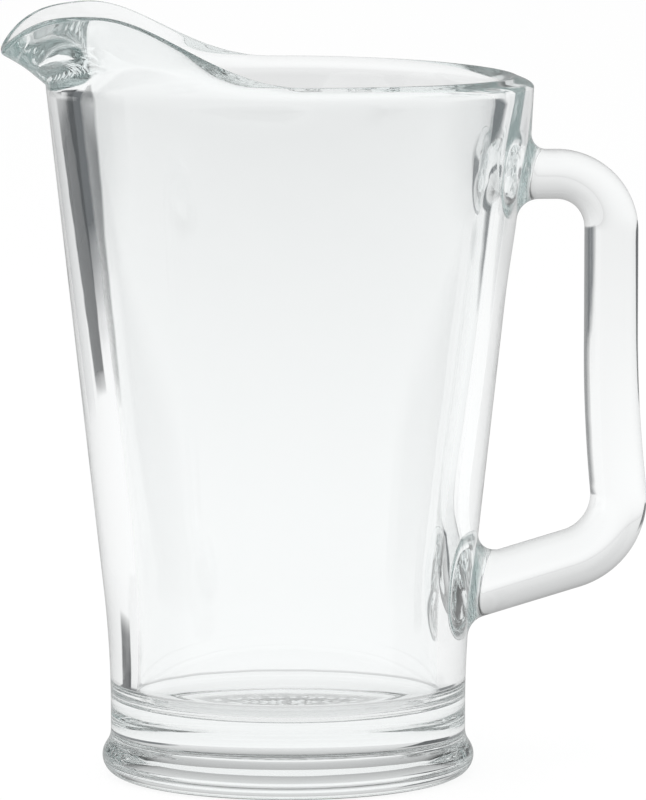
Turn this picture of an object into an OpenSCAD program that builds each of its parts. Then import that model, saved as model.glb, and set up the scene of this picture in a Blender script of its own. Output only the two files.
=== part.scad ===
// Clear pressed-glass beer pitcher with a pouring lip and a fused grip handle.
// Millimetres. The origin is on the vessel's axis at the table and +Z is up.
// The handle points to +X and the pouring lip to -X.

/* [Bowl] */
// Height of the plain rim's crest above the table
rim_h = 215.4; // [195:0.2:240]
// Outer diameter of the vessel at the mould line under the rim
rim_d = 147.2; // [136:0.2:162]
// Wall thickness at the mould line
wall_top = 9.6; // [8.2:0.1:11]
// Wall thickness where it is thickest
wall_mid = 10.8; // [8.6:0.1:12]
// Wall thickness at the heel
wall_heel = 8.4; // [6.5:0.1:11]
// Height at which the wall is thickest
wall_mid_z = 62; // [52:1:110]
// Height at which the line of the tapered wall meets the straight band
taper_z = 38.4; // [32:0.2:60]
// Half of the height over which the band turns softly into the taper
turn_h = 18; // [8:0.5:24]
// Radius of the round between wall and floor
heel_r = 4.2; // [3:0.1:15]
// Thickness of the bowl's own floor, above the base slab
floor_t = 4.7; // [2:0.1:6]

/* [Rim and pouring lip] */
// Height of the rounded edge, from the mould line to the plain rim's crest
edge_h = 3.6; // [3:0.1:6]
// Radius of the rounded crest
crest_r = 2; // [1.6:0.1:2.4]
// Distance from the outer surface at the mould line in to the crest's centre line
crest_in = 4.6; // [4:0.1:5.4]
// Rise of the lip's shoulders above the plain rim
lip_rise = 19.5; // [10:0.5:28]
// Depth of the pouring channel below the shoulders
lip_dip = 10.5; // [4:0.5:14]
// How far the lip's tip reaches out beyond the plain rim
lip_reach = 16.1; // [10:0.1:20]
// Radius of the lip's crest, which is narrower than the plain rim's
lip_crest_r = 0.9; // [0.8:0.1:2.4]
// Distance from the outer surface at the mould line in to the centre line of the lip's crest
lip_crest_in = 5.2; // [4:0.1:5.6]
// Most that the rim's rounded outer face leans in, from upright
face_lean_angle = 62; // [50:1:68]
// Angle from the tip at which the rim starts to rise
lip_start_angle = 90; // [70:1:110]
// Angle from the tip at which the shoulders are full
lip_shoulder_angle = 33; // [28:1:40]
// Angle from the tip over which the channel closes
channel_angle = 15; // [10:0.5:20]
// Angle from the tip over which the reach fades
reach_angle = 28; // [20:0.5:34]

/* [Base] */
// Outer diameter of the straight band above the foot
band_d = 108.8; // [104:0.2:112]
// Thickness of the clear base slab
base_t = 6.5; // [2:0.1:8]
// Outer diameter of the foot
foot_d = 114; // [112:0.2:122]
// Height of the foot
foot_h = 11.3; // [10:0.1:16]
// Radius of the foot's rounded edge
foot_round_r = 5.6; // [4:0.1:6.4]
// Width of the flat ring that stands on the table
stand_w = 5.4; // [3:0.1:9]
// Depth of the shallow hollow under the foot
hollow_depth = 1.5; // [0.6:0.1:3]

/* [Handle] */
// Drop of the upper arm's centre line below the plain rim's crest
handle_drop = 31.8; // [26:0.2:45]
// Distance from the wall to the bar's centre line, at the upper arm
handle_reach = 28.8; // [28:0.2:38]
// Radius of the upper bend's centre line
upper_bend_r = 17.1; // [14:0.1:17.8]
// Length of the bar's straight stretch
bar_l = 33; // [24:0.5:40]
// Radius of the bar's slow outward lean
lean_r = 450; // [380:5:600]
// Angle through which the bar leans out
lean_angle = 6; // [3:0.5:8]
// Radius of the lower bend's centre line
lower_bend_r = 20.1; // [15:0.1:22]
// Slope of the lower arm
lower_arm_angle = 16.4; // [8:0.1:24]
// Thickness of the upper arm, in the plane of the handle
upper_arm_t = 15; // [12:0.1:18]
// Thickness of the bar, in the plane of the handle
bar_t = 16.1; // [12:0.1:18]
// Thickness of the lower arm, in the plane of the handle
lower_arm_t = 17.7; // [14:0.1:20]
// Width of the handle, across its plane
handle_w = 23; // [16:0.5:26]
// Distance from the wall to the ends of the bent bar
weld_l = 9.6; // [8.5:0.1:10.2]
// Radius of the flare where the handle is fused to the wall
weld_r = 7; // [3:0.1:9]

/* [Hidden] */
$fn = 96;

// Clear glass with the faint green of its iron
glass_tint = [0.80, 0.90, 0.88];

// Squareness of the grip's section: 1 is an ellipse, near 0 is a rectangle
grip_round_share = 0.78;
// Pull of the mould line and of the crest on the curves between them: inside, outside and at the crest
edge_pull_shares = [0.25, 0.45, 0.45];
// Turn of the underside of the lip out of the upright, at the wall and at the crest, as shares of its chord's
lip_turn_shares = [1.05, 1.3];
// Most of the way to the wall that a flare may take up
flare_share = 0.9;
// Part of its full turn at which a flare ends at the wall
flare_end_share = 0.88;
// Depth to which the flares are drawn into the wall before the wall cuts them
weld_root = 3;

// Counts of steps along curves
arc_steps = 12;
edge_steps = 6;
lip_steps = 72;
grip_sides = 36;
flare_steps = 6;

rim_r = rim_d / 2;
band_r = band_d / 2;
foot_r = foot_d / 2;
mould_z = rim_h - edge_h;
base_top = foot_h + base_t;
floor_z = base_top + floor_t;

// Tapered wall, with a soft turn into the straight band below it
taper = (rim_r - band_r) / (mould_z - taper_z);
taper_angle = atan(taper);
turn_r = turn_h / tan(taper_angle / 2);
turn_z0 = taper_z - turn_h;
turn_z1 = taper_z + turn_h * cos(taper_angle);

// Inner wall, in two straight stretches from the mould line to the heel
inner_top_r = rim_r - wall_top;
inner_mid_r = outer_r(wall_mid_z) - wall_mid;
heel_z = floor_z + heel_r;
inner_heel_r = outer_r(heel_z) - wall_heel;
inner_top_angle = atan((inner_top_r - inner_mid_r) / (mould_z - wall_mid_z));
inner_low_angle = atan((inner_mid_r - inner_heel_r) / (wall_mid_z - heel_z));
heel_c = [inner_heel_r - heel_r / cos(inner_low_angle), heel_z];

// Foot: a round edge, and the line from it to the band
foot_c = [foot_r - foot_round_r, foot_round_r];
foot_neck = [outer_r(foot_h), foot_h] - foot_c;
foot_end_angle = atan2(foot_neck.y, foot_neck.x) - acos(min(1, foot_round_r / norm(foot_neck)));
hollow_r = foot_c.x - stand_w;

// Handle centre line, in the plane y = 0
arm_z = rim_h - handle_drop;
bar_x = outer_r(arm_z) + handle_reach;

// Outer radius of the vessel at height z
function outer_r(z) =
    z <= turn_z0 ? band_r :
    z <= turn_z1 ? band_r + turn_r - sqrt(turn_r * turn_r - (z - turn_z0) * (z - turn_z0)) :
    band_r + taper * (z - taper_z);

// Outline points of the outer surface from height z0 to height z1
function outer_points(z0, z1) =
    let (turn = [for (i = [0 : arc_steps]) turn_z0 + (turn_z1 - turn_z0) * i / arc_steps])
    [for (z = concat([z0], [for (z = turn) if (z > z0 && z < z1) z], [z1])) [outer_r(z), z]];

// Points of an arc
function arc(c, r, a0, a1, n) =
    [for (i = [0 : n]) let (a = a0 + (a1 - a0) * i / n) c + r * [cos(a), sin(a)]];

// Points between the ends of a cubic curve
function curve(p0, p1, p2, p3, n) =
    [for (i = [1 : n - 1]) let (t = i / n, u = 1 - t)
        u * u * u * p0 + 3 * u * u * t * p1 + 3 * u * t * t * p2 + t * t * t * p3];

// Rise of the crest and the share of its reach outwards, at an angle from the lip's tip
function lip_shoulder(a) =
    a <= lip_shoulder_angle ? 1 :
    a >= lip_start_angle ? 0 :
    (1 + cos(180 * (a - lip_shoulder_angle) / (lip_start_angle - lip_shoulder_angle))) / 2;
function crest_rise(a) = lip_rise * lip_shoulder(a) - lip_dip * exp(-pow(a / channel_angle, 2));
function reach_share(a) = exp(-pow(a / reach_angle, 2));

// Radius and inset of the crest, which narrows from the plain rim to the lip's shoulders
function thin_share(a) = lip_shoulder(a) * (1 - reach_share(a));
function crest_radius(a) = crest_r + (lip_crest_r - crest_r) * thin_share(a);
function crest_inset(a) = crest_in + (lip_crest_in - crest_in) * thin_share(a);

// Radial section of the rim at an angle from the lip's tip: flat on the mould line, with a round crest
function rim_section(a) =
    let (r = crest_radius(a))
    let (c = [rim_r - crest_inset(a) + lip_reach * reach_share(a), rim_h - r + crest_rise(a)])
    let (out = [rim_r, mould_z], in = [inner_top_r, mould_z])
    let (chord = atan2(c.y - out.y, c.x - out.x))
    let (turn = max(0, 90 - chord))
    let (root_dir = 90 - turn * lip_turn_shares[0])
    let (out_dir = chord >= 90 ? min(chord, 90 + face_lean_angle) : 90 - turn * lip_turn_shares[1])
    let (in_dir = atan2(in.y - c.y, in.x - c.x) + 360)
    let (out_top = c + r * [sin(out_dir), -cos(out_dir)])
    let (in_top = c + r * [sin(in_dir), -cos(in_dir)])
    let (out_l = norm(out_top - out), in_l = norm(in_top - in))
    let (in_pull = edge_pull_shares[0], out_pull = edge_pull_shares[1], top_pull = edge_pull_shares[2])
    concat(
        [in, out],
        curve(out, out + out_pull * out_l * [cos(root_dir), sin(root_dir)],
              out_top - top_pull * out_l * [cos(out_dir), sin(out_dir)], out_top, edge_steps),
        arc(c, r, out_dir - 90, in_dir - 90, arc_steps),
        curve(in_top, in_top + top_pull * in_l * [cos(in_dir), sin(in_dir)],
              in + in_pull * in_l * [sin(inner_top_angle), cos(inner_top_angle)], in, edge_steps));

// One station of the handle: place, angle of travel and thickness
function station(p, dir, t) = [p, dir, t];
function travel(dir) = [cos(dir), 0, sin(dir)];
function bend(c, r, dir0, dir1, t0, t1) =
    [for (i = [0 : arc_steps]) let (s = i / arc_steps, dir = dir0 + (dir1 - dir0) * s)
        station(c + r * [cos(dir + 90), sin(dir + 90)], dir, t0 + (t1 - t0) * s)];

// Distance from point p along direction d to the tapered wall
function wall_distance(p, d) =
    let (k = band_r + taper * (p.z - taper_z))
    let (a = d.x * d.x - pow(taper * d.z, 2))
    let (b = p.x * d.x - taper * d.z * k)
    let (c = p.x * p.x + p.y * p.y - k * k)
    (-b - sqrt(b * b - a * c)) / a;

upper_bend_c = [bar_x - upper_bend_r, arm_z - upper_bend_r];
lean_c = [bar_x + lean_r, upper_bend_c.y - bar_l];
lean_end = lean_c - lean_r * [cos(lean_angle), sin(lean_angle)];
lower_bend_c = lean_end - lower_bend_r * [cos(lean_angle), sin(lean_angle)];
mid_t = (bar_t + lower_arm_t) / 2;
upper_end = [outer_r(arm_z) + weld_l, arm_z];
lower_dir = lower_arm_angle - 180;
lower_bend = bend(lower_bend_c, lower_bend_r, lean_angle - 90, lower_dir, mid_t, lower_arm_t);
lower_from = lower_bend[arc_steps][0];
lower_skew = lower_arm_t / 2 * tan(lower_arm_angle + taper_angle);
lower_run = wall_distance([lower_from.x, 0, lower_from.y], travel(lower_dir)) - weld_l - lower_skew;
lower_end = lower_from + lower_run * [cos(lower_dir), sin(lower_dir)];
handle_path = concat(
    [station(upper_end, 0, upper_arm_t)],
    bend(upper_bend_c, upper_bend_r, 0, -90, upper_arm_t, bar_t),
    [for (i = [0 : arc_steps]) let (s = i / arc_steps, a = lean_angle * s)
        station(lean_c - lean_r * [cos(a), sin(a)], a - 90, bar_t + (mid_t - bar_t) * s)],
    [for (i = [1 : arc_steps]) lower_bend[i]],
    [station(lower_end, lower_dir, lower_arm_t)]);

// Point of the grip's section at angle a of station s, and the unit step outwards there
function signed_power(v, e) = sign(v) * pow(abs(v), e);
function grip_out(s, a) = [-sin(s[1]) * cos(a), sin(a), cos(s[1]) * cos(a)];
function grip_point(s, a) =
    let (n = s[2] / 2 * signed_power(cos(a), grip_round_share))
    [s[0].x - sin(s[1]) * n, handle_w / 2 * signed_power(sin(a), grip_round_share), s[0].y + cos(s[1]) * n];
function grip_ring(s) = [for (j = [0 : grip_sides - 1]) grip_point(s, 360 * j / grip_sides)];

// Ring of a flare from station s to the wall, at a share of its turn into the wall, moved on by root.
// Each of its lines is an arc that touches the grip's surface and the wall.
function flare_ring(s, share, root) =
    [for (j = [0 : grip_sides - 1])
        let (b = 360 * j / grip_sides, d = travel(s[1]), start = grip_point(s, b), out = grip_out(s, b))
        let (l = wall_distance(start, d))
        let (turn = atan2(weld_r, wall_distance(start + weld_r * out, d) - l))
        let (r = min(weld_r, flare_share * l / tan(turn / 2)))
        let (along = l - r * tan(turn / 2) + r * sin(turn * share))
        start + r * (1 - cos(turn * share)) * out + (along + root) * d];

// Solid through a list of rings with equal counts of points
module skin(rings) {
    n = len(rings);
    k = len(rings[0]);
    sides = [for (i = [0 : n - 2]) for (j = [0 : k - 1])
        let (a = i * k + j, b = i * k + (j + 1) % k)
        each [[a, b, b + k], [a, b + k, a + k]]];
    polyhedron(
        points = [for (r = rings) each r],
        faces = concat(sides, [[for (j = [k - 1 : -1 : 0]) j]], [[for (j = [0 : k - 1]) (n - 1) * k + j]]));
}

// Solid of the vessel's outer surface, without its hollow
module vessel_core() {
    rotate_extrude()
        polygon(concat([[0, base_top]], outer_points(base_top, mould_z), [[0, mould_z]]));
}

// Flare from station s, at the end of the bent bar, into the wall
module flare(s) {
    fillet = [for (i = [0 : flare_steps]) flare_ring(s, flare_end_share * i / flare_steps, 0)];
    skin(concat([grip_ring(s)], fillet, [flare_ring(s, flare_end_share, weld_root)]));
}

module bowl() {
    color(glass_tint)
        rotate_extrude()
            polygon(concat(
                [[0, base_top]],
                outer_points(base_top, mould_z),
                [[inner_top_r, mould_z], [inner_mid_r, wall_mid_z]],
                arc(heel_c, heel_r, -inner_low_angle, -90, arc_steps),
                [[0, floor_z]]));
}

module rim_ring() {
    color(glass_tint)
        rotate([0, 0, lip_start_angle - 180])
            rotate_extrude(angle = 360 - 2 * lip_start_angle)
                polygon(rim_section(lip_start_angle));
}

module pouring_lip() {
    color(glass_tint)
        skin([for (i = [0 : lip_steps])
            let (a = lip_start_angle * (2 * i / lip_steps - 1))
            [for (p = rim_section(abs(a))) [-p.x * cos(a), -p.x * sin(a), p.y]]]);
}

module base_block() {
    color(glass_tint)
        rotate_extrude()
            polygon(concat([[0, foot_h]], outer_points(foot_h, base_top), [[0, base_top]]));
}

module foot_ring() {
    color(glass_tint)
        rotate_extrude()
            polygon(concat(
                [[0, hollow_depth], [hollow_r - hollow_depth, hollow_depth], [hollow_r, 0]],
                arc(foot_c, foot_round_r, -90, foot_end_angle, arc_steps),
                [[outer_r(foot_h), foot_h], [0, foot_h]]));
}

module handle() {
    color(glass_tint)
        skin([for (s = handle_path) grip_ring(s)]);
}

module upper_handle_weld() {
    color(glass_tint)
        difference() {
            flare(station(upper_end, 180, upper_arm_t));
            vessel_core();
        }
}

module lower_handle_weld() {
    color(glass_tint)
        difference() {
            flare(station(lower_end, lower_dir, lower_arm_t));
            vessel_core();
        }
}

bowl();
rim_ring();
pouring_lip();
base_block();
foot_ring();
handle();
upper_handle_weld();
lower_handle_weld();
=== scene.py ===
"""Clear pressed-glass beer pitcher: a vessel with a pouring lip and a fused handle, in plain studio light."""

import math

import bpy
import numpy as np
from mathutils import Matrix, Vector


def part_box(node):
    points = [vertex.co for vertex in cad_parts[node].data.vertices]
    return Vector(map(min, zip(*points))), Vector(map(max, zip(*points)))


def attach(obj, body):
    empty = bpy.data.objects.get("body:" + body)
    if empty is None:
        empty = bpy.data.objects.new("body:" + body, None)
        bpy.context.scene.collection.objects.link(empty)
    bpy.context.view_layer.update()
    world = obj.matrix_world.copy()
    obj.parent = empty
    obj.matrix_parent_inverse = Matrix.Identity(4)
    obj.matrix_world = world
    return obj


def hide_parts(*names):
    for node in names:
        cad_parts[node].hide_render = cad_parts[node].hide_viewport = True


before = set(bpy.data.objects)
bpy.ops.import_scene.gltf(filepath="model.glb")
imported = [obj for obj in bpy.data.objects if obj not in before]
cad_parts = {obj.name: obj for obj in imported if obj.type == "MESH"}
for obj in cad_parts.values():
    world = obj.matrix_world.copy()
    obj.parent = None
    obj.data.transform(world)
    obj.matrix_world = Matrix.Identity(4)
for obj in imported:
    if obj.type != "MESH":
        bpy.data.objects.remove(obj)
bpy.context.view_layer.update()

MM = 0.001

# The vessel's main sizes, from the solids
FOOT_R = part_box("foot_ring")[1][0]
FOOT_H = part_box("foot_ring")[1][2]
BAND_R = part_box("base_block")[1][0]
BASE_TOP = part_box("base_block")[1][2]
RIM_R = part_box("bowl")[1][0]
MOULD_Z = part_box("bowl")[1][2]
RIM_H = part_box("rim_ring")[1][2]

# The wall: a straight band, a soft turn and a taper up to the mould line
TAPER_Z = 38.4 * MM
TURN_H = 18 * MM
TAPER = (RIM_R - BAND_R) / (MOULD_Z - TAPER_Z)
TAPER_ANGLE = math.atan(TAPER)
TURN_R = TURN_H / math.tan(TAPER_ANGLE / 2)
TURN_Z0 = TAPER_Z - TURN_H
TURN_Z1 = TAPER_Z + TURN_H * math.cos(TAPER_ANGLE)
WALL_TOP = 9.6 * MM
WALL_MID = 10.8 * MM
WALL_HEEL = 8.4 * MM
MID_Z = 62 * MM
MID_SOFT = 10 * MM

# The inside: a flat floor, a round heel with a crease in degrees, and a fine ring line above it
FLOOR_T = 4.7 * MM
FLOOR_Z = BASE_TOP + FLOOR_T
HEEL_R = 4.2 * MM
HEEL_CREASE = 4
HEEL_Z = FLOOR_Z + HEEL_R * (1 - math.sin(math.radians(HEEL_CREASE)))
RING_Z = 27.5 * MM
RING_DEPTH = 0.3 * MM
RING_H = 0.5 * MM

# The foot: a round edge on a flat ring, with a shallow hollow inside the ring
FOOT_ROUND = 5.6 * MM
STAND_W = 5.4 * MM
HOLLOW_DEPTH = 1.5 * MM
HOLLOW_EDGE = 3 * MM
NECK_ROUND = 2.2 * MM

# The rim and the pouring lip, with angles in degrees from the lip's tip
# The lip rises 0.04 mm less than the solid's, so that this finer mesh stays inside the solid's box
CREST_R = 2 * MM
CREST_IN = 4.6 * MM
FACE_LEAN = 62
LIP_RISE = 19.46 * MM
LIP_DIP = 10.5 * MM
LIP_REACH = 16.1 * MM
LIP_CREST_R = 0.9 * MM
LIP_CREST_IN = 5.2 * MM
LIP_START = 90
LIP_SHOULDER = 33
CHANNEL = 15
REACH = 28
WALL_PULL = 0.25
EDGE_PULL = 0.45
ROOT_TURN = 1.05
CREST_TURN = 1.3

# The pressed rim sinks a little towards the handle, and the wall swells where the handle joins it
RIM_SINK = 1.35 * MM
SINK_DEPTH = 16 * MM
PAD_W = 15 * MM
PAD_TOP = 2.31 * MM
PAD_SLOPE = 0.066
PAD_Z = 200 * MM
PAD_LOW = 0.9 * MM
PAD_LOW_Z = (146 * MM, 172 * MM)

# The handle's centre line and section, with angles in degrees
ARM_Z = RIM_H - 31.8 * MM
HANDLE_REACH = 28.8 * MM
UPPER_BEND = 17.1 * MM
BAR_L = 33 * MM
LEAN_R = 450 * MM
LEAN = 6
LOWER_BEND = 20.1 * MM
LOWER_ARM = 16.4
UPPER_T = 15 * MM
BAR_T = 16.1 * MM
LOWER_T = 17.7 * MM
GRIP_W = 23 * MM
GRIP_ROUND = 0.78
WELD_L = 9.6 * MM
WELD_R = 7 * MM
WELD_ROOT = 0.4 * MM
FLARE_MOST = 0.9

# The waves of the pressed glass, and the stippled ring under the foot
WAVE_SIZE = 14 * MM
WAVE_H = 0.25 * MM
WAVE_STRENGTH = 0.12
STIPPLE_R = (24 * MM, 48 * MM)
STIPPLE_FADE = 0.02
STIPPLE_ROW = 8 * MM
STIPPLE_COUNT = 74
STIPPLE_FROM = -6 * MM
STIPPLE_TOP = HOLLOW_DEPTH + 0.1 * MM
STIPPLE_H = 0.4 * MM
DOT_GREYS = [(0.1, 1.0), (0.45, 0.0)]

# The studio, with grey levels at shares of a height or of a distance: both ends first, then between them
FLOOR_SIZE = 8.0
FLOOR_DROP = 0.05 * MM
GLOW_SHARE = 0.85
WORLD_LIGHT = 1.05
MIRROR_SHARE = 0.4
BACKDROP_GREYS = [(0.0, 0.84), (0.9, 0.25), (0.15, 0.72), (0.3, 0.62), (0.55, 0.45)]
SIDE_GREYS = [(0.0, 0.84), (0.9, 0.10), (0.12, 0.72), (0.24, 0.16), (0.5, 0.08)]
# Painted light on the paper as seen through glass: a faint painted shadow in the middle, then a pool of light
# that fades outwards
PAPER_PAINTED_LIGHT = [(0.0, 0.97), (1.0, 0.70), (0.12, 1.0), (0.3, 0.93), (0.55, 0.84)]
FLAG_H = 0.15
FLAG_TOP_FADE = 0.75

# The camera, fitted to the photograph, with angles in degrees
CAMERA_PLACE = (-0.16195, -2.13386, 0.370)
CAMERA_DOWN = 6.80
CAMERA_TURN = -4.628
CAMERA_LENS = 317.35
CAMERA_SENSOR = 36

# Fineness of the meshes
ROUND_STEPS = 256
WALL_STEP = 3 * MM
HOLLOW_STEPS = 8
FOOT_STEPS = 28
NECK_STEPS = 8
EDGE_STEPS = 12
CREST_STEPS = 20
RING_STEPS = 8
HEEL_STEPS = 16
GRIP_SIDES = 96
BEND_STEPS = 28
BAR_STEPS = 11
LEAN_STEPS = 12
FLARE_STEPS = 14
ROOT_EDGE = 0.99
ROOT_SHARES = (0.8, 0.6, 0.4, 0.2, 0)
WALL_TRIES = 40
VESSEL_JOIN = 0.01 * MM
HANDLE_JOIN = 0.005 * MM
SMOOTH_ANGLE = math.radians(40)


# Curves

def arc(centre, radius, start, end, steps):
    """Points on an arc from angle start to angle end, in degrees."""
    angles = np.radians(np.linspace(start, end, steps + 1))
    return [(centre[0] + radius * math.cos(a), centre[1] + radius * math.sin(a)) for a in angles]


def straight(start, end, step):
    """Points from start to end, both included, about one step apart."""
    start = np.array(start)
    end = np.array(end)
    count = max(1, round(float(np.linalg.norm(end - start)) / step))
    return [tuple(start + (end - start) * i / count) for i in range(count + 1)]


def cubic(p0, p1, p2, p3, steps):
    """Points between the ends of a cubic curve."""
    points = []
    for i in range(1, steps):
        t = i / steps
        u = 1 - t
        points.append(u**3 * p0 + 3 * u * u * t * p1 + 3 * u * t * t * p2 + t**3 * p3)
    return points


def ease(t):
    """A smooth step from 0 to 1."""
    t = np.clip(t, 0, 1)
    return t * t * (3 - 2 * t)


def heading(angle):
    """The unit step along an angle in degrees."""
    return np.array([math.cos(math.radians(angle)), math.sin(math.radians(angle))])


# The vessel

def outer_radius(z):
    """Outer radius of the plain vessel at height z."""
    z = np.asarray(z, dtype=float)
    turn = BAND_R + TURN_R - np.sqrt(np.maximum(TURN_R**2 - (z - TURN_Z0)**2, 0))
    cone = BAND_R + TAPER * (z - TAPER_Z)
    return np.where(z <= TURN_Z0, BAND_R, np.where(z <= TURN_Z1, turn, cone))


def inner_radius(z):
    """Inner radius of the vessel at height z: two straight stretches with a soft bend between them."""
    below = (np.hypot(z - MID_Z, MID_SOFT) - (z - MID_Z)) / 2
    above = below + z - MID_Z
    thin_low = (WALL_MID - WALL_HEEL) * below / (MID_Z - HEEL_Z)
    thin_high = (WALL_MID - WALL_TOP) * above / (MOULD_Z - MID_Z)
    return outer_radius(z) - WALL_MID + thin_low + thin_high


INNER_TOP_R = RIM_R - WALL_TOP
INNER_ANGLE = math.degrees(math.atan2(INNER_TOP_R - float(inner_radius(MOULD_Z - MM)), MM))
INNER_HEEL_R = float(inner_radius(HEEL_Z))


def pad_rise(y, z):
    """How far the wall swells at the handle, beside the handle's plane by y and at height z."""
    low = PAD_LOW * ease((z - PAD_LOW_Z[0]) / (PAD_LOW_Z[1] - PAD_LOW_Z[0]))
    high = PAD_TOP - PAD_SLOPE * (z - PAD_Z)
    share = ease((z - ARM_Z + UPPER_T / 2) / UPPER_T)
    return (low + (high - low) * share) * np.exp(-(y / PAD_W)**2)


def rim_sink(x, z):
    """How far the rim has sunk at x and height z."""
    return RIM_SINK * (np.maximum(x, 0) / RIM_R)**2 * ease((z - MOULD_Z + SINK_DEPTH) / SINK_DEPTH)


def rim_section(angle):
    """Outline of the rim from the mould line outside, over the crest, to the mould line inside."""
    fall = np.clip((angle - LIP_SHOULDER) / (LIP_START - LIP_SHOULDER), 0, 1)
    rise = 0.5 + 0.5 * math.cos(math.pi * fall)
    lift = LIP_RISE * rise - LIP_DIP * math.exp(-(angle / CHANNEL)**2)
    spout = math.exp(-(angle / REACH)**2)
    thin = rise * (1 - spout)
    crest_r = CREST_R + (LIP_CREST_R - CREST_R) * thin
    crest_in = CREST_IN + (LIP_CREST_IN - CREST_IN) * thin
    crest = np.array([RIM_R - crest_in + LIP_REACH * spout, RIM_H - crest_r + lift])
    outside = np.array([RIM_R, MOULD_Z])
    inside = np.array([INNER_TOP_R, MOULD_Z])
    chord = math.degrees(math.atan2(*(crest - outside)[::-1]))
    turn = max(0, 90 - chord)
    out_angle = min(chord, 90 + FACE_LEAN) if chord >= 90 else 90 - turn * CREST_TURN
    in_angle = math.degrees(math.atan2(*(inside - crest)[::-1])) + 360
    root = heading(90 - turn * ROOT_TURN)
    top_out = crest + crest_r * heading(out_angle - 90)
    top_in = crest + crest_r * heading(in_angle - 90)
    out_l = np.linalg.norm(top_out - outside)
    in_l = np.linalg.norm(top_in - inside)
    outer = cubic(outside, outside + EDGE_PULL * out_l * root,
                  top_out - EDGE_PULL * out_l * heading(out_angle), top_out, EDGE_STEPS)
    inner = cubic(top_in, top_in + EDGE_PULL * in_l * heading(in_angle),
                  inside + WALL_PULL * in_l * heading(90 - INNER_ANGLE), inside, EDGE_STEPS)
    over = arc(crest, crest_r, out_angle - 90, in_angle - 90, CREST_STEPS)
    return [outside, *outer, *over, *inner, inside]


def foot_outline():
    """The underside from its middle, the foot's round edge and the neck above it."""
    foot_c = (FOOT_R - FOOT_ROUND, FOOT_ROUND)
    hollow_r = foot_c[0] - STAND_W
    neck = np.array([BAND_R, FOOT_H])
    out = neck - foot_c
    touch = math.acos(min(1, FOOT_ROUND / np.linalg.norm(out)))
    slope_end = math.degrees(math.atan2(out[1], out[0]) - touch)
    into_neck = neck - NECK_ROUND * heading(slope_end + 90)
    out_of_neck = neck + np.array([0, NECK_ROUND])

    points = straight((0, HOLLOW_DEPTH), (hollow_r - HOLLOW_EDGE, HOLLOW_DEPTH), WALL_STEP)
    for i in range(1, HOLLOW_STEPS):
        share = i / HOLLOW_STEPS
        points.append((hollow_r - HOLLOW_EDGE * (1 - share), HOLLOW_DEPTH * float(1 - ease(share))))
    points += straight((hollow_r, 0), (foot_c[0], 0), WALL_STEP)[:-1]
    points += arc(foot_c, FOOT_ROUND, -90, slope_end, FOOT_STEPS)
    points.append(tuple(into_neck))
    points += cubic(into_neck, (into_neck + 2 * neck) / 3, (out_of_neck + 2 * neck) / 3, out_of_neck,
                    NECK_STEPS)
    return points


def vessel_outline():
    """Half of the plain vessel's section, from the middle of the underside to the middle of the floor."""
    points = foot_outline()
    heights = [p[1] for p in straight((0, FOOT_H + NECK_ROUND), (0, MOULD_Z), WALL_STEP)]
    points += [(float(outer_radius(z)), z) for z in heights[:-1]]
    points += rim_section(180)[:-1]
    depths = [p[1] for p in straight((0, MOULD_Z), (0, HEEL_Z), WALL_STEP / 2)][:-1]
    depths += list(np.linspace(RING_Z - 2 * RING_H, RING_Z + 2 * RING_H, RING_STEPS + 1))
    for z in sorted(depths, reverse=True):
        points.append((float(inner_radius(z)) + RING_DEPTH * math.exp(-((z - RING_Z) / RING_H)**2), z))
    heel_x = INNER_HEEL_R - HEEL_R * math.cos(math.radians(HEEL_CREASE))
    points += arc((heel_x, FLOOR_Z + HEEL_R), HEEL_R, -HEEL_CREASE, -90, HEEL_STEPS)
    points += straight((heel_x, FLOOR_Z), (0, FLOOR_Z), WALL_STEP)[1:]
    return points


def close_mesh(join):
    """Joins points nearer than join, turns the faces outwards and leaves edit mode."""
    bpy.ops.mesh.select_all(action="SELECT")
    bpy.ops.mesh.remove_doubles(threshold=join)
    bpy.ops.mesh.normals_make_consistent(inside=False)
    bpy.ops.object.mode_set(mode="OBJECT")


def spun_vessel():
    """Draws the plain vessel's outline point by point, and spins it."""
    outline = vessel_outline()
    bpy.ops.object.select_all(action="DESELECT")
    bpy.ops.mesh.primitive_plane_add(size=MM)
    vessel = bpy.context.object
    vessel.name = "vessel"
    bpy.ops.object.mode_set(mode="EDIT")
    bpy.ops.mesh.merge(type="CENTER")
    bpy.ops.transform.translate(value=(outline[0][0], 0, outline[0][1]))
    for (r0, z0), (r1, z1) in zip(outline, outline[1:]):
        bpy.ops.mesh.extrude_vertices_move(TRANSFORM_OT_translate={"value": (r1 - r0, 0, z1 - z0)})
    bpy.ops.mesh.select_all(action="SELECT")
    bpy.ops.mesh.spin(steps=ROUND_STEPS, angle=math.tau, center=(0, 0, 0), axis=(0, 0, 1))
    close_mesh(VESSEL_JOIN)
    return vessel


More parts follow.
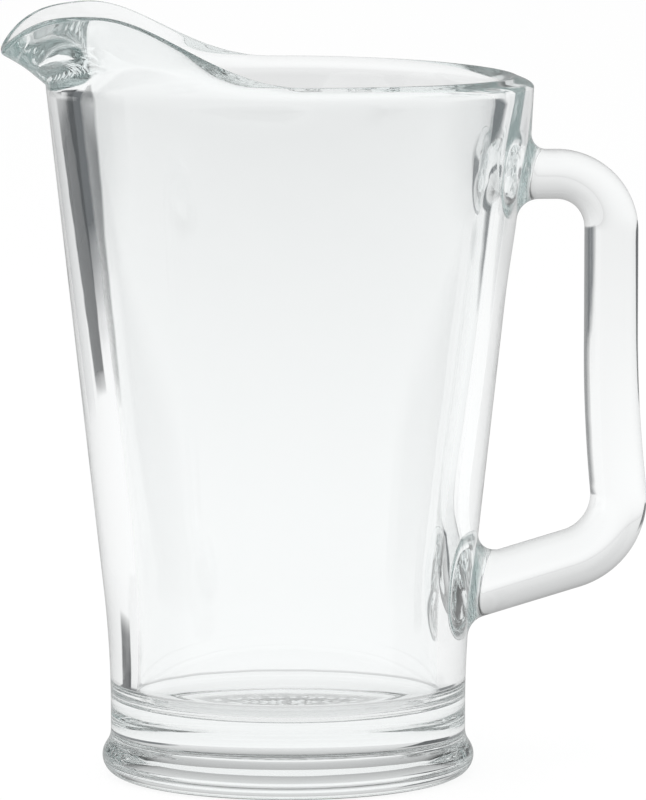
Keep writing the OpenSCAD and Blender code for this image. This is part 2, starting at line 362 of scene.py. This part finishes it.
def shaped_places(places):
    """Points of the plain vessel, moved to raise the lip, swell the wall at the handle and sink the rim."""
    radius = np.hypot(places[:, 0], places[:, 1])
    azimuth = np.arctan2(places[:, 1], places[:, 0])
    z = places[:, 2].copy()
    outside = radius > outer_radius(z) - WALL_TOP / 2

    from_tip = np.round(180 - np.abs(np.degrees(azimuth)), 4)
    plain = np.array(rim_section(180))
    rim = np.flatnonzero(z > MOULD_Z - VESSEL_JOIN)
    spots = np.stack([radius[rim], z[rim]], axis=1)
    step = np.argmin(np.linalg.norm(spots[:, None] - plain[None], axis=2), axis=1)
    for angle in np.unique(from_tip[rim]):
        section = np.array(rim_section(angle))
        here = from_tip[rim] == angle
        radius[rim[here]] = section[step[here], 0]
        z[rim[here]] = section[step[here], 1]

    x = radius * np.cos(azimuth)
    y = radius * np.sin(azimuth)
    above = ease((z - MOULD_Z) / (RIM_H - MOULD_Z))
    swell = pad_rise(y, np.minimum(z, MOULD_Z)) * (1 - above)
    radius = radius + np.where(outside & (x > 0) & (z > PAD_LOW_Z[0]), swell, 0)
    z = z - rim_sink(x, z)
    return np.stack([radius * np.cos(azimuth), radius * np.sin(azimuth), z], axis=1)


def model_vessel():
    """The vessel as one smooth mesh."""
    vessel = spun_vessel()
    places = np.empty(len(vessel.data.vertices) * 3)
    vessel.data.vertices.foreach_get("co", places)
    vessel.data.vertices.foreach_set("co", shaped_places(places.reshape(-1, 3)).ravel())
    vessel.data.update()
    bpy.ops.object.shade_smooth_by_angle(angle=SMOOTH_ANGLE)
    return vessel


# The handle

def station(x, z, angle, thickness):
    """A place on the handle's centre line, its direction of travel and its thickness there."""
    return {"at": np.array([x, z]), "angle": angle, "t": thickness}


def bend(centre, radius, start, end, t0, t1):
    """Stations round a bend, between two directions of travel and two thicknesses."""
    stations = []
    for i in range(BEND_STEPS + 1):
        angle = start + (end - start) * i / BEND_STEPS
        at = np.array(centre) + radius * heading(angle + 90)
        stations.append(station(at[0], at[1], angle, t0 + (t1 - t0) * i / BEND_STEPS))
    return stations


def grip_ring(s):
    """The points of the grip's section at a station, and the steps outwards there."""
    around = np.linspace(0, math.tau, GRIP_SIDES + 1)
    cos = np.cos(around)
    sin = np.sin(around)
    up = heading(s["angle"] + 90)
    n = s["t"] / 2 * np.sign(cos) * np.abs(cos)**GRIP_ROUND
    y = GRIP_W / 2 * np.sign(sin) * np.abs(sin)**GRIP_ROUND
    ring = np.stack([s["at"][0] + up[0] * n, y, s["at"][1] + up[1] * n], axis=1)
    out = np.stack([up[0] * cos, sin, up[1] * cos], axis=1)
    return ring, out


def wall_gap(points):
    """How far points lie outside the swollen wall, measured level from the axis."""
    radius = outer_radius(points[:, 2]) + pad_rise(points[:, 1], points[:, 2])
    return np.hypot(points[:, 0], points[:, 1]) - radius


def wall_distance(points, along):
    """How far points have to travel along a direction to reach the wall."""
    travelled = np.zeros(len(points))
    for _ in range(WALL_TRIES):
        travelled += wall_gap(points + travelled[:, None] * along) / abs(along[0])
    return travelled


def on_wall(points, depth):
    """Points brought to a depth under the wall's surface."""
    scale = 1 - (wall_gap(points) + depth) / np.hypot(points[:, 0], points[:, 1])
    return points * np.stack([scale, scale, np.ones(len(points))], axis=1)


def flare_rings(s):
    """Rings from a station at the end of the bent bar to the wall, each line an arc that touches both.

    Rings just under the wall's surface then close the end.
    """
    ring, out = grip_ring(s)
    step = heading(s["angle"])
    along = np.array([step[0], 0, step[1]])
    length = wall_distance(ring, along)
    turn = np.arctan2(WELD_R, wall_distance(ring + WELD_R * out, along) - length)
    radius = np.minimum(WELD_R, FLARE_MOST * length / np.tan(turn / 2))
    rings = [ring]
    for share in np.linspace(0, 1, FLARE_STEPS + 1):
        far = length - radius * np.tan(turn / 2) + radius * np.sin(turn * share)
        wide = radius * (1 - np.cos(turn * share))
        rings.append(ring + wide[:, None] * out + far[:, None] * along)
    edge = on_wall(rings[-1], 0)
    middle = edge.mean(axis=0)
    sunk = on_wall(middle + (edge - middle) * ROOT_EDGE, WELD_ROOT)
    root = [on_wall(middle + (sunk - middle) * share, WELD_ROOT) for share in ROOT_SHARES]
    return [*rings[:-1], edge, sunk, *root]


def handle_path():
    """Stations of the bent bar from the upper weld to the lower one."""
    wall_x = float(outer_radius(ARM_Z))
    bar_x = wall_x + HANDLE_REACH
    upper_c = (bar_x - UPPER_BEND, ARM_Z - UPPER_BEND)
    lean_c = np.array([bar_x + LEAN_R, upper_c[1] - BAR_L])
    lean_end = lean_c - LEAN_R * heading(LEAN)
    lower_c = lean_end - LOWER_BEND * heading(LEAN)
    mid_t = (BAR_T + LOWER_T) / 2
    lower_angle = LOWER_ARM - 180
    lower = bend(lower_c, LOWER_BEND, LEAN - 90, lower_angle, mid_t, LOWER_T)
    last = lower[-1]["at"]
    step = heading(lower_angle)
    start = np.array([[last[0], 0, last[1]]])
    skew = LOWER_T / 2 * math.tan(math.radians(LOWER_ARM) + TAPER_ANGLE)
    run = wall_distance(start, np.array([step[0], 0, step[1]]))[0] - WELD_L - skew
    lower_end = last + run * step

    stations = [station(wall_x + WELD_L, ARM_Z, 0, UPPER_T)]
    stations += bend(upper_c, UPPER_BEND, 0, -90, UPPER_T, BAR_T)
    for share in np.linspace(0, 1, BAR_STEPS + 1)[1:]:
        stations.append(station(bar_x, upper_c[1] - BAR_L * share, -90, BAR_T))
    for share in np.linspace(0, 1, LEAN_STEPS + 1)[1:]:
        at = lean_c - LEAN_R * heading(LEAN * share)
        stations.append(station(at[0], at[1], LEAN * share - 90, BAR_T + (mid_t - BAR_T) * share))
    stations += lower[1:]
    stations.append(station(lower_end[0], lower_end[1], lower_angle, LOWER_T))
    return stations


def model_handle():
    """Lays a grid round the bar and its flared ends, and closes it."""
    path = handle_path()
    # The upper flare is made towards the wall, so its rings are turned round to run with the bar's
    first = dict(path[0], angle=180)
    upper = [ring[::-1] for ring in flare_rings(first)[:0:-1]]
    upper = [np.roll(ring[:-1], -(GRIP_SIDES // 2), axis=0) for ring in upper]
    upper = [np.vstack([ring, ring[:1]]) for ring in upper]
    rings = upper + [grip_ring(s)[0] for s in path] + flare_rings(path[-1])[1:]
    bpy.ops.object.select_all(action="DESELECT")
    bpy.ops.mesh.primitive_grid_add(x_subdivisions=GRIP_SIDES, y_subdivisions=len(rings) - 1, size=MM)
    handle = bpy.context.object
    handle.name = "fused_handle"
    handle.data.vertices.foreach_set("co", np.array(rings).ravel())
    handle.data.update()
    bpy.ops.object.mode_set(mode="EDIT")
    close_mesh(HANDLE_JOIN)
    bpy.ops.object.shade_smooth_by_angle(angle=SMOOTH_ANGLE)
    return handle


# Materials

def linear(hex_colour):
    """Linear colour of an sRGB hex value."""
    channels = [int(hex_colour[i:i + 2], 16) / 255 for i in (1, 3, 5)]
    return (*[c / 12.92 if c <= 0.04045 else ((c + 0.055) / 1.055)**2.4 for c in channels], 1)


def add(tree, kind, links=None, **settings):
    """Adds a node with its settings, and links its inputs to other nodes' outputs."""
    node = tree.nodes.new(kind)
    for name, value in settings.items():
        if name in node.inputs:
            node.inputs[name].default_value = value
        else:
            setattr(node, name, value)
    for name, source in (links or {}).items():
        tree.links.new(source, node.inputs[name])
    return node


def combine(tree, operation, first, second):
    """Output of a math node on one output and on a second output or a number."""
    node = add(tree, "ShaderNodeMath", {0: first}, operation=operation)
    if isinstance(second, bpy.types.NodeSocket):
        tree.links.new(second, node.inputs[1])
    else:
        node.inputs[1].default_value = second
    return node.outputs[0]


def ramp(tree, source, stops):
    """A colour ramp of grey levels at places from 0 to 1."""
    node = add(tree, "ShaderNodeValToRGB", {"Fac": source})
    for i, (place, level) in enumerate(stops):
        stop = node.color_ramp.elements[i] if i < 2 else node.color_ramp.elements.new(place)
        stop.position = place
        stop.color = (level, level, level, 1)
    return node.outputs["Color"]


def fresh_material(name):
    """A new material and its node tree, which is empty."""
    material = bpy.data.materials.new(name)
    material.use_nodes = True
    material.node_tree.nodes.clear()
    return material, material.node_tree


def stipple(tree, place, under):
    """Small round bumps on the rear of a ring under the foot, over the normal of the glass there."""
    axes = add(tree, "ShaderNodeSeparateXYZ", {"Vector": place})
    level = add(tree, "ShaderNodeVectorMath", {0: place}, operation="MULTIPLY")
    level.inputs[1].default_value = (1 / FOOT_R, 1 / FOOT_R, 0)
    far = add(tree, "ShaderNodeVectorMath", {0: level.outputs["Vector"]}, operation="LENGTH")
    share = far.outputs["Value"]
    inner = STIPPLE_R[0] / FOOT_R
    outer = STIPPLE_R[1] / FOOT_R
    stops = [(inner, 0.0), (outer, 0.0), (inner + STIPPLE_FADE, 1.0), (outer - STIPPLE_FADE, 1.0)]
    ring = ramp(tree, share, stops)
    low = combine(tree, "LESS_THAN", axes.outputs["Z"], STIPPLE_TOP)
    rear = combine(tree, "GREATER_THAN", axes.outputs["Y"], STIPPLE_FROM)
    turn = add(tree, "ShaderNodeTexGradient", {"Vector": place}, gradient_type="RADIAL")
    around = combine(tree, "MULTIPLY", turn.outputs["Fac"], STIPPLE_COUNT)
    outward = combine(tree, "MULTIPLY", share, FOOT_R / STIPPLE_ROW)
    grid = add(tree, "ShaderNodeCombineXYZ", {"X": around, "Y": outward})
    cells = add(tree, "ShaderNodeTexVoronoi", {"Vector": grid.outputs["Vector"]},
                voronoi_dimensions="2D", Scale=1, Randomness=0.5)
    dots = ramp(tree, cells.outputs["Distance"], DOT_GREYS)
    on_ring = combine(tree, "MULTIPLY", ring, combine(tree, "MULTIPLY", low, rear))
    links = {"Height": combine(tree, "MULTIPLY", on_ring, dots), "Normal": under}
    return add(tree, "ShaderNodeBump", links, Strength=1.0, Distance=STIPPLE_H).outputs["Normal"]


def pressed_soda_lime_glass():
    """Pressed soda-lime glass, fire polished: clear, softly wavy, faintly green where it is thick."""
    material, tree = fresh_material("pressed_soda_lime_glass")
    place = add(tree, "ShaderNodeTexCoord").outputs["Object"]
    wave = add(tree, "ShaderNodeTexNoise", {"Vector": place}, Scale=1 / WAVE_SIZE, Detail=1.0).outputs["Fac"]
    bump = add(tree, "ShaderNodeBump", {"Height": wave}, Strength=WAVE_STRENGTH, Distance=WAVE_H)
    normal = stipple(tree, place, bump.outputs["Normal"])
    glass = add(tree, "ShaderNodeBsdfPrincipled", {"Normal": normal})
    glass.inputs["Base Color"].default_value = linear("#FDFEFE")
    glass.inputs["Roughness"].default_value = 0.0
    glass.inputs["IOR"].default_value = 1.52
    glass.inputs["Transmission Weight"].default_value = 1.0
    # Shadow rays pass almost freely, so that the shadow on the paper stays pale
    path = add(tree, "ShaderNodeLightPath")
    clear = add(tree, "ShaderNodeBsdfTransparent", Color=linear("#F4F7F6"))
    links = {0: path.outputs["Is Shadow Ray"], 1: glass.outputs["BSDF"], 2: clear.outputs["BSDF"]}
    mix = add(tree, "ShaderNodeMixShader", links)
    tint = add(tree, "ShaderNodeVolumeAbsorption", Density=1.0, Color=linear("#DDEDEC"))
    links = {"Surface": mix.outputs["Shader"], "Volume": tint.outputs["Volume"]}
    add(tree, "ShaderNodeOutputMaterial", links)
    return material


def finish_glass(piece, *nodes):
    """Gives a piece the glass, attaches it to the root body, and hides the solids it stands for."""
    piece.data.materials.clear()
    piece.data.materials.append(GLASS)
    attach(piece, "root")
    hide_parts(*nodes)


# The studio

def seen_background(tree, through):
    """Strength of the background, and an output that is 1 for the rays that see it.

    The strength is 1 for the camera, a level for rays through glass and a share of it in mirrored rays.
    """
    path = add(tree, "ShaderNodeLightPath")
    camera = path.outputs["Is Camera Ray"]
    glass = path.outputs["Is Transmission Ray"]
    mirror = path.outputs["Is Glossy Ray"]
    dim = combine(tree, "MULTIPLY", combine(tree, "MULTIPLY", mirror, through), MIRROR_SHARE)
    clear = combine(tree, "MULTIPLY", glass, through)
    strength = combine(tree, "MAXIMUM", camera, combine(tree, "MAXIMUM", clear, dim))
    seen = combine(tree, "MAXIMUM", camera, combine(tree, "MAXIMUM", glass, mirror))
    return strength, seen


def white_world():
    """White to the camera; through glass it darkens upwards, and beside the backdrop, as a studio does."""
    world = bpy.data.worlds.new("white_studio")
    bpy.context.scene.world = world
    world.use_nodes = True
    tree = world.node_tree
    tree.nodes.clear()
    place = add(tree, "ShaderNodeTexCoord")
    axes = add(tree, "ShaderNodeSeparateXYZ", {"Vector": place.outputs["Generated"]})
    backdrop = ramp(tree, axes.outputs["Z"], BACKDROP_GREYS)
    sides = ramp(tree, axes.outputs["Z"], SIDE_GREYS)
    behind = add(tree, "ShaderNodeMapRange", {"Value": axes.outputs["Y"]}, interpolation_type="SMOOTHSTEP")
    behind.inputs["From Min"].default_value = 0.4
    behind.inputs["From Max"].default_value = 0.7
    sky = add(tree, "ShaderNodeMix", {0: behind.outputs["Result"], 2: sides, 3: backdrop}, data_type="FLOAT")
    strength, seen = seen_background(tree, sky.outputs[0])
    shown = add(tree, "ShaderNodeBackground", {"Strength": strength}, Color=linear("#FFFFFF"))
    # Only rays from dull surfaces, here the paper, see the even light
    light = add(tree, "ShaderNodeBackground", Strength=WORLD_LIGHT, Color=linear("#FFFFFF"))
    links = {0: seen, 1: light.outputs["Background"], 2: shown.outputs["Background"]}
    mix = add(tree, "ShaderNodeMixShader", links)
    add(tree, "ShaderNodeOutputWorld", {"Surface": mix.outputs["Shader"]})


def pale_floor():
    """White paper that keeps the shadow. Through glass it glows with painted light: a faint painted shadow in
    the middle and a pool of light that greys with distance, with painted shade in its reflections.
    """
    material, tree = fresh_material("white_paper_sweep")
    place = add(tree, "ShaderNodeNewGeometry")
    far = add(tree, "ShaderNodeVectorMath", {0: place.outputs["Position"]}, operation="LENGTH")
    share = combine(tree, "DIVIDE", far.outputs["Value"], FLOOR_SIZE / 2)
    # Painted light through glass: a faint painted shadow at the middle and a pool of light that fades
    # outwards, dimmer still in mirrored rays
    strength, seen = seen_background(tree, ramp(tree, share, PAPER_PAINTED_LIGHT))
    paper = add(tree, "ShaderNodeBsdfDiffuse", Color=linear("#F2F2F2"))
    glow = add(tree, "ShaderNodeEmission", {"Strength": strength}, Color=linear("#FFFFFF"))
    part = combine(tree, "MULTIPLY", seen, GLOW_SHARE)
    links = {0: part, 1: paper.outputs["BSDF"], 2: glow.outputs["Emission"]}
    mix = add(tree, "ShaderNodeMixShader", links)
    add(tree, "ShaderNodeOutputMaterial", {"Surface": mix.outputs["Shader"]})
    # A hair under the foot, so that two faces do not share one plane
    bpy.ops.mesh.primitive_plane_add(size=FLOOR_SIZE, location=(0, 0, -FLOOR_DROP))
    floor = bpy.context.object
    floor.name = "floor"
    floor.data.materials.append(material)


def flag_painted_shade(name, level, soft, fade):
    """Painted shade on a flag: it glows at an even grey level, in place of dull cloth lit by the lamps.

    It fades in over a soft share of its width from each end, and upwards between two shares of its
    height, and fades out again near its top.
    """
    material, tree = fresh_material(name)
    place = add(tree, "ShaderNodeTexCoord")
    axes = add(tree, "ShaderNodeSeparateXYZ", {"Vector": place.outputs["UV"]})
    across = ramp(tree, axes.outputs["X"], [(0.0, 0.0), (1.0, 0.0), (soft, 1.0), (1 - soft, 1.0)])
    stops = [(fade[0], 0.0), (1.0, 0.0), (fade[1], 1.0), (FLAG_TOP_FADE, 1.0)]
    cover = combine(tree, "MULTIPLY", across, ramp(tree, axes.outputs["Y"], stops))
    # Painted shade: the flag glows at this fixed grey level instead of being lit
    glow = add(tree, "ShaderNodeEmission", Strength=level, Color=linear("#F4FAFF"))
    clear = add(tree, "ShaderNodeBsdfTransparent")
    links = {0: cover, 1: clear.outputs["BSDF"], 2: glow.outputs["Emission"]}
    mix = add(tree, "ShaderNodeMixShader", links)
    add(tree, "ShaderNodeOutputMaterial", {"Surface": mix.outputs["Shader"]})
    return material


def flag(name, foot, top, level, soft, fade):
    """A flag between its foot and its top edge, seen only in and through the glass."""
    bpy.ops.mesh.primitive_plane_add(size=1)
    board = bpy.context.object
    board.name = name
    corners = [(x, y, 0) for x, y in foot] + [(x, y, FLAG_H) for x, y in top]
    board.data.vertices.foreach_set("co", np.array(corners, dtype=float).ravel())
    board.data.materials.append(flag_painted_shade(name + "_painted_shade", level, soft, fade))
    board.visible_camera = False
    board.visible_diffuse = False
    board.visible_shadow = False


def place_flags():
    """Flags of painted shade beside and behind the pitcher, glowing at grey levels, which draw its edges as
    dark lines.
    """
    flag("left_dark_flag", foot=[(-0.31, 0.565), (-0.405, 0.42)], top=[(-0.19, 0.59), (-0.405, 0.42)],
         level=0.10, soft=0.08, fade=(0.0, 0.07))
    flag("left_raised_flag", foot=[(-0.36, 0.49), (-0.70, 0.05)], top=[(-0.36, 0.49), (-0.70, 0.05)],
         level=0.18, soft=0.04, fade=(0.08, 0.42))
    flag("right_dark_flag", foot=[(0.72, 1.3), (0.72, -0.2)], top=[(0.72, 1.3), (0.72, -0.2)],
         level=0.2, soft=0.2, fade=(0.0, 0.2))


def look_angles(place):
    """Turns that point an object at place towards the vessel's middle."""
    x, y, z = np.array([0, 0, RIM_H / 2]) - np.array(place)
    return (math.atan2(math.hypot(x, y), -z), 0, math.atan2(-x, y))


def soft_light(name, place, size, watts):
    """A square soft light that is not seen in or through the glass."""
    data = bpy.data.lights.new(name, "AREA")
    data.size = size
    data.energy = watts
    lamp = bpy.data.objects.new(name, data)
    lamp.location = place
    lamp.rotation_euler = look_angles(place)
    lamp.visible_glossy = False
    lamp.visible_transmission = False
    bpy.context.collection.objects.link(lamp)


def photo_camera():
    """The camera, where the photograph was taken from."""
    data = bpy.data.cameras.new("camera")
    data.lens = CAMERA_LENS
    data.sensor_width = CAMERA_SENSOR
    camera = bpy.data.objects.new("camera", data)
    camera.location = CAMERA_PLACE
    camera.rotation_euler = (math.radians(90 - CAMERA_DOWN), 0, math.radians(CAMERA_TURN))
    bpy.context.collection.objects.link(camera)
    bpy.context.scene.camera = camera


GLASS = pressed_soda_lime_glass()
finish_glass(model_vessel(), "bowl", "rim_ring", "pouring_lip", "base_block", "foot_ring")
finish_glass(model_handle(), "handle", "upper_handle_weld", "lower_handle_weld")
white_world()
pale_floor()
place_flags()
soft_light("overhead_softbox", place=(-0.5, -0.6, 1.6), size=1.2, watts=14)
photo_camera()

scene = bpy.context.scene
scene.view_settings.view_transform = "Standard"
scene.cycles.max_bounces = 128
scene.cycles.transmission_bounces = 64
scene.cycles.glossy_bounces = 128
scene.cycles.transparent_max_bounces = 24
